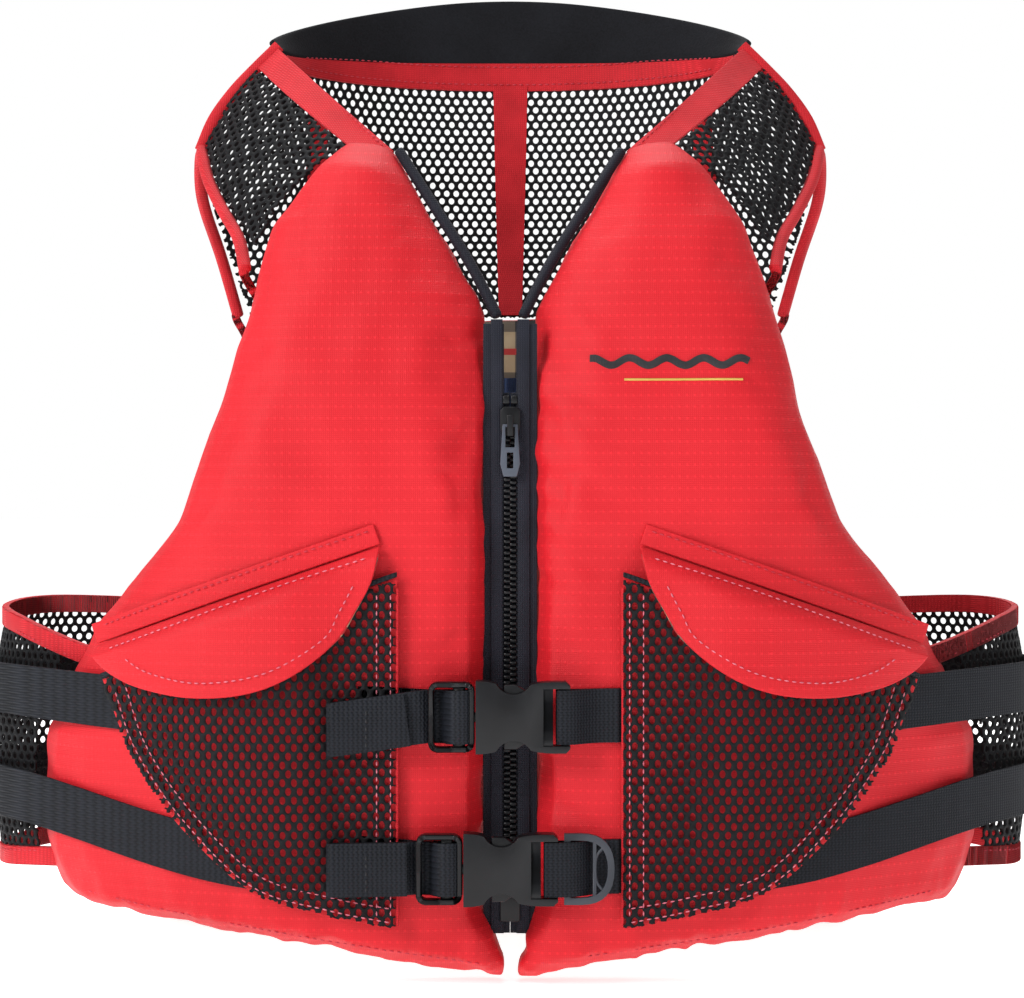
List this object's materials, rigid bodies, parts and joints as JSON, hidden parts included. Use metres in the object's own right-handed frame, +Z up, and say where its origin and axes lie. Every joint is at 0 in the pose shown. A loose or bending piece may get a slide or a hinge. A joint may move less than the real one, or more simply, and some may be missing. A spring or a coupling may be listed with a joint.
{
  "type": "life jacket",
  "caption": "Padded foam paddling vest with a front zip, two buckled straps, mesh shoulders and sides, flapped mesh pockets and a soft collar.",
  "frame": {"origin": "bottom centre of the standing vest's box", "axes": "+Z up, the zip and pockets face -Y, +X to the right as seen from the front"},
  "size_m": [0.5526, 0.2608, 0.5167],
  "materials": {
    "red_shell": "fine ripstop weave, slight sheen",
    "red_trim": "plain woven tape",
    "foam": "soft closed-cell foam, hidden",
    "lining": "tan, black and grey plaid",
    "mesh": "open knitted mesh",
    "webbing": "woven webbing",
    "neoprene": "matt neoprene",
    "navy": "zip tape and piping",
    "plastic": "satin moulded plastic",
    "pull_grey": "blue-grey moulded plastic",
    "tab": "plain woven tab, white and red"
  },
  "bodies": {
    "vest": {"front_shell_right": "red_shell", "front_shell_left": "red_shell", "front_foam_right": "foam", "front_foam_left": "foam", "front_lining_right": "lining", "front_lining_left": "lining", "back_shell": "red_shell", "back_foam": "foam", "back_lining": "lining", "neck_strap_right": "red_trim", "neck_strap_left": "red_trim", "shoulder_mesh_right": "mesh", "shoulder_mesh_left": "mesh", "back_mesh": "mesh", "back_centre_tape": "red_trim", "neck_binding": "red_trim", "collar": "neoprene", "armhole_binding_right": "red_trim", "armhole_binding_left": "red_trim", "neck_piping_right": "navy", "neck_piping_left": "navy", "side_mesh_right": "mesh", "side_mesh_left": "mesh", "side_top_binding_right": "red_trim", "side_top_binding_left": "red_trim", "side_bottom_binding_right": "red_trim", "side_bottom_binding_left": "red_trim", "side_tab": "tab", "zipper_tape_right": "navy", "zipper_tape_left": "navy", "zipper_teeth_right": "navy", "zipper_teeth_left": "navy", "zipper_box": "plastic", "pocket_backing_right": "red_shell", "pocket_backing_left": "red_shell", "pocket_mesh_right": "mesh", "pocket_mesh_left": "mesh", "pocket_elastic_right": "webbing", "pocket_elastic_left": "webbing", "flap_hem_right": "red_shell", "flap_hem_left": "red_shell", "upper_side_strap_left": "webbing", "lower_side_strap_left": "webbing", "upper_strap_right": "webbing", "lower_strap_right": "webbing", "upper_buckle_female": "plastic", "lower_buckle_female": "plastic"},
    "zip_slider": {"zipper_slider": "pull_grey"},
    "pull_tab": {"zipper_pull": "pull_grey"},
    "right_flap": {"pocket_flap_right": "red_shell"},
    "left_flap": {"pocket_flap_left": "red_shell"},
    "upper_male": {"upper_buckle_male": "plastic", "upper_strap_left": "webbing"},
    "lower_male": {"lower_buckle_male": "plastic", "lower_strap_left": "webbing"},
    "upper_prong_up": {"upper_prong_top": "plastic"},
    "upper_prong_down": {"upper_prong_bottom": "plastic"},
    "lower_prong_up": {"lower_prong_top": "plastic"},
    "lower_prong_down": {"lower_prong_bottom": "plastic"},
    "ring": {"accessory_ring": "plastic"}
  },
  "joints": [
    {"name": "zip_run", "type": "slide", "parent": "vest", "child": "zip_slider", "axis": [0, 0, -1], "range_m": [0, 0.215]},
    {"name": "pull_swing", "type": "hinge", "parent": "zip_slider", "child": "pull_tab", "pos_m": [0, -0.09913, 0.2676], "axis": [-1, 0, 0], "range_deg": [0, 175]},
    {"name": "right_flap_lift", "type": "hinge", "parent": "vest", "child": "right_flap", "pos_m": [0.13399, -0.11313, 0.18512], "axis": [-0.9208, -0.2211, 0.3214], "range_deg": [0, 110]},
    {"name": "left_flap_lift", "type": "hinge", "parent": "vest", "child": "left_flap", "pos_m": [-0.13399, -0.11313, 0.18512], "axis": [-0.9208, 0.2211, -0.3214], "range_deg": [0, 110]},
    {"name": "upper_buckle_pull", "type": "slide", "parent": "vest", "child": "upper_male", "axis": [-1, 0, 0], "range_m": [0, 0.034], "deforming": ["upper_strap_left", "upper_prong_top", "upper_prong_bottom"]},
    {"name": "upper_prong_up_press", "type": "hinge", "parent": "upper_male", "child": "upper_prong_up", "pos_m": [-0.015, -0.12302, 0.1386], "axis": [0, 1, 0], "range_deg": [0, 7], "stiffness_Nm_per_rad": 0.4},
    {"name": "upper_prong_down_press", "type": "hinge", "parent": "upper_male", "child": "upper_prong_down", "pos_m": [-0.015, -0.12302, 0.1234], "axis": [0, -1, 0], "range_deg": [0, 7], "stiffness_Nm_per_rad": 0.4},
    {"name": "lower_buckle_pull", "type": "slide", "parent": "vest", "child": "lower_male", "axis": [-1, 0, 0], "range_m": [0, 0.034], "deforming": ["lower_strap_left", "lower_prong_top", "lower_prong_bottom"]},
    {"name": "lower_prong_up_press", "type": "hinge", "parent": "lower_male", "child": "lower_prong_up", "pos_m": [-0.0207, -0.12302, 0.0677], "axis": [0, 1, 0], "range_deg": [0, 7], "stiffness_Nm_per_rad": 0.4},
    {"name": "lower_prong_down_press", "type": "hinge", "parent": "lower_male", "child": "lower_prong_down", "pos_m": [-0.0207, -0.12302, 0.0525], "axis": [0, -1, 0], "range_deg": [0, 7], "stiffness_Nm_per_rad": 0.4},
    {"name": "ring_swing", "type": "hinge", "parent": "vest", "child": "ring", "pos_m": [0.0267, -0.12283, 0.0601], "axis": [0, 0, -1], "range_deg": [0, 100]}
  ],
  "couplings": [
    {"joint": "upper_prong_down_press", "follows": "upper_prong_up_press", "ratio": 1},
    {"joint": "lower_prong_down_press", "follows": "lower_prong_up_press", "ratio": 1}
  ]
}
